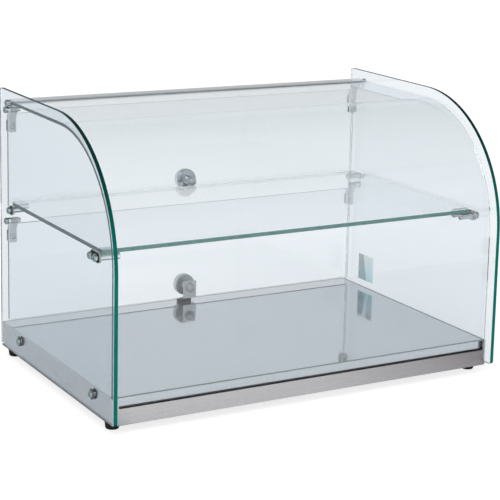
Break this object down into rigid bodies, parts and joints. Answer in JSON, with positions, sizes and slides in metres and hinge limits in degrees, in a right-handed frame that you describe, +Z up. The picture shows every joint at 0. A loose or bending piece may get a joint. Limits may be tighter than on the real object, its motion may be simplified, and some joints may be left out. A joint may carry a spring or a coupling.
{
  "type": "display case",
  "caption": "Countertop glass display case with a curved front glass, a glass shelf, a polished deck on a folded steel base and top-hinged rear doors with round knobs.",
  "frame": {"origin": "on the floor, under the middle of the bounding box", "axes": "+X to the right of someone facing the curved front, +Y to the rear where the doors are, +Z up"},
  "size_m": [0.5612, 0.3718, 0.365],
  "materials": {
    "glass": "clear, polished edges",
    "base_steel": "brushed",
    "deck_steel": "mirror polished",
    "rail_aluminium": "satin anodised",
    "fitting_chrome": "polished",
    "rubber": "matte",
    "clear_plastic": "clear",
    "dark_plastic": "matte",
    "magnet": "nickel plated",
    "film": "frosted"
  },
  "bodies": {
    "case": {"base_bolt_nuts": "fitting_chrome", "base_bolts": "fitting_chrome", "base_shell": "base_steel", "blank_film": "film", "catch_housing": "dark_plastic", "catch_magnet": "magnet", "curved_front_glass": "glass", "deck_tray": "deck_steel", "foot_nuts": "fitting_chrome", "foot_screws": "fitting_chrome", "front_glass_gasket": "rubber", "front_left_foot": "rubber", "front_left_support_pins": "fitting_chrome", "front_left_support_plate": "fitting_chrome", "front_right_foot": "rubber", "front_right_support_pins": "fitting_chrome", "front_right_support_plate": "fitting_chrome", "glass_bushes": "clear_plastic", "hinge_bolts": "fitting_chrome", "hinge_pins": "fitting_chrome", "left_side_glass": "glass", "rail_bolts": "fitting_chrome", "rear_left_foot": "rubber", "rear_left_support_pin": "fitting_chrome", "rear_left_support_plate": "fitting_chrome", "rear_right_foot": "rubber", "rear_right_support_pin": "fitting_chrome", "rear_right_support_plate": "fitting_chrome", "right_side_glass": "glass", "shelf_glass": "glass", "shelf_support_bolts": "fitting_chrome", "top_rail": "rail_aluminium"},
    "upper_door": {"upper_door_backing_plates": "fitting_chrome", "upper_door_clamp_pads": "rubber", "upper_door_clamp_screws": "fitting_chrome", "upper_door_glass": "glass", "upper_door_knob": "fitting_chrome", "upper_knob_cap_nut": "fitting_chrome", "upper_knob_stud": "fitting_chrome", "upper_left_door_clamp": "fitting_chrome", "upper_right_door_clamp": "fitting_chrome"},
    "lower_door": {"lower_door_backing_plates": "fitting_chrome", "lower_door_clamp_pads": "rubber", "lower_door_clamp_screws": "fitting_chrome", "lower_door_glass": "glass", "lower_door_knob": "fitting_chrome", "lower_knob_cap_nut": "fitting_chrome", "lower_knob_stud": "fitting_chrome", "lower_left_door_clamp": "fitting_chrome", "lower_right_door_clamp": "fitting_chrome", "lower_strike_plate": "fitting_chrome"}
  },
  "joints": [
    {"name": "upper_door_hinge", "type": "hinge", "parent": "case", "child": "upper_door", "pos_m": [0, 0.15005, 0.339], "axis": [1, 0, 0], "range_deg": [0, 90]},
    {"name": "lower_door_hinge", "type": "hinge", "parent": "case", "child": "lower_door", "pos_m": [0, 0.15005, 0.1905], "axis": [1, 0, 0], "range_deg": [0, 90]}
  ]
}
